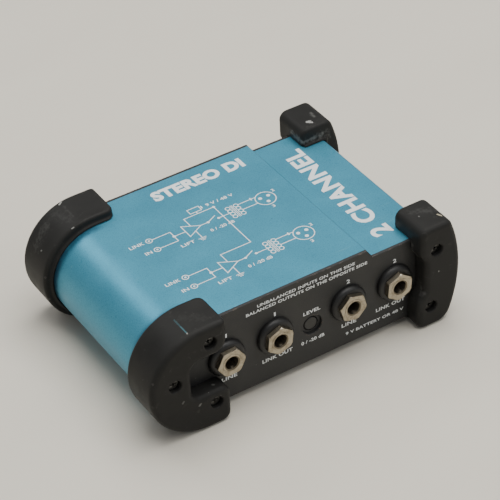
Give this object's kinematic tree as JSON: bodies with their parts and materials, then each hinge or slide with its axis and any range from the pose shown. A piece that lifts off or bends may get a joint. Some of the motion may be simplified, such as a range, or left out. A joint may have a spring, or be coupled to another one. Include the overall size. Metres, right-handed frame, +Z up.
{
  "type": "direct injection box",
  "caption": "Stage box that turns instrument signals into balanced lines: blue metal case with a round end, rubber corner bumpers, jack sockets in front, three-pin outputs behind.",
  "frame": {"origin": "on the surface the box stands on, under the middle of its outline", "axes": "+X towards the end with the lowered top, +Y from the jack sockets to the three-pin outputs, +Z up"},
  "size_m": [0.1636, 0.1188, 0.0564],
  "materials": {
    "blue_paint": "satin paint with a fine speckle",
    "black_paint": "semi-matt powder coat",
    "rubber_black": "satin moulded rubber, scuffed",
    "nickel": "warm nickel plate",
    "bright_steel": "zinc plated",
    "black_screw": "black oxide",
    "ring_plastic": "matt black",
    "socket_plastic": "matt black",
    "button_plastic": "matt black",
    "switch_plastic": "matt dark grey",
    "cup_metal": "black finish over die-cast zinc",
    "pin_metal": "plated brass",
    "lamp_red": "clear red",
    "board_green": "solder mask",
    "chip_black": "moulded",
    "tin": "tinned",
    "can_blue": "sleeved can",
    "resistor_tan": "lacquered",
    "wire_grey": "insulated wire",
    "battery_case": "lacquered steel can",
    "tray_plastic": "moulded",
    "foam": "soft foam"
  },
  "bodies": {
    "root": {"top_shell": "blue_paint", "front_panel": "black_paint", "rear_panel": "black_paint", "base_plate": "black_paint", "left_bracket": "bright_steel", "right_bracket": "bright_steel", "bumper_front_left": "rubber_black", "bumper_rear_left": "rubber_black", "bumper_front_right": "rubber_black", "bumper_rear_right": "rubber_black", "bumper_screws": "black_screw", "base_screws": "black_screw", "input_jack_left": "socket_plastic", "link_jack_left": "socket_plastic", "input_jack_right": "socket_plastic", "link_jack_right": "socket_plastic", "jack_bushings": "nickel", "jack_nuts": "nickel", "jack_washers": "ring_plastic", "jack_contacts": "tin", "output_left": "cup_metal", "output_right": "cup_metal", "output_inserts": "socket_plastic", "output_pins": "pin_metal", "output_screws": "black_screw", "level_switch": "switch_plastic", "ground_switch": "switch_plastic", "power_switch": "switch_plastic", "status_led": "lamp_red", "led_leads": "tin", "main_board": "board_green", "board_standoffs": "bright_steel", "board_screws": "bright_steel", "op_amps": "chip_black", "op_amp_legs": "tin", "capacitors": "can_blue", "resistors": "resistor_tan", "output_wires": "wire_grey", "battery": "battery_case", "battery_terminals": "tin", "battery_snap": "tray_plastic", "battery_leads": "wire_grey", "battery_tray": "tray_plastic", "door_pin": "bright_steel"},
    "level_button": {"level_button": "button_plastic"},
    "ground_button": {"ground_button": "button_plastic"},
    "power_button": {"power_button": "button_plastic"},
    "battery_door": {"battery_door": "tray_plastic", "battery_pad": "foam"}
  },
  "joints": [
    {"name": "level_press", "type": "slide", "parent": "root", "child": "level_button", "axis": [0, 1, 0], "range_m": [0, 0.0022], "stiffness_N_per_m": 250},
    {"name": "ground_press", "type": "slide", "parent": "root", "child": "ground_button", "axis": [0, -1, 0], "range_m": [0, 0.0022], "stiffness_N_per_m": 250},
    {"name": "power_press", "type": "slide", "parent": "root", "child": "power_button", "axis": [0, -1, 0], "range_m": [0, 0.0022], "stiffness_N_per_m": 250},
    {"name": "battery_door_hinge", "type": "hinge", "parent": "root", "child": "battery_door", "pos_m": [0.0532, 0, 0.00575], "axis": [0, -1, 0], "range_deg": [0, 90]}
  ]
}
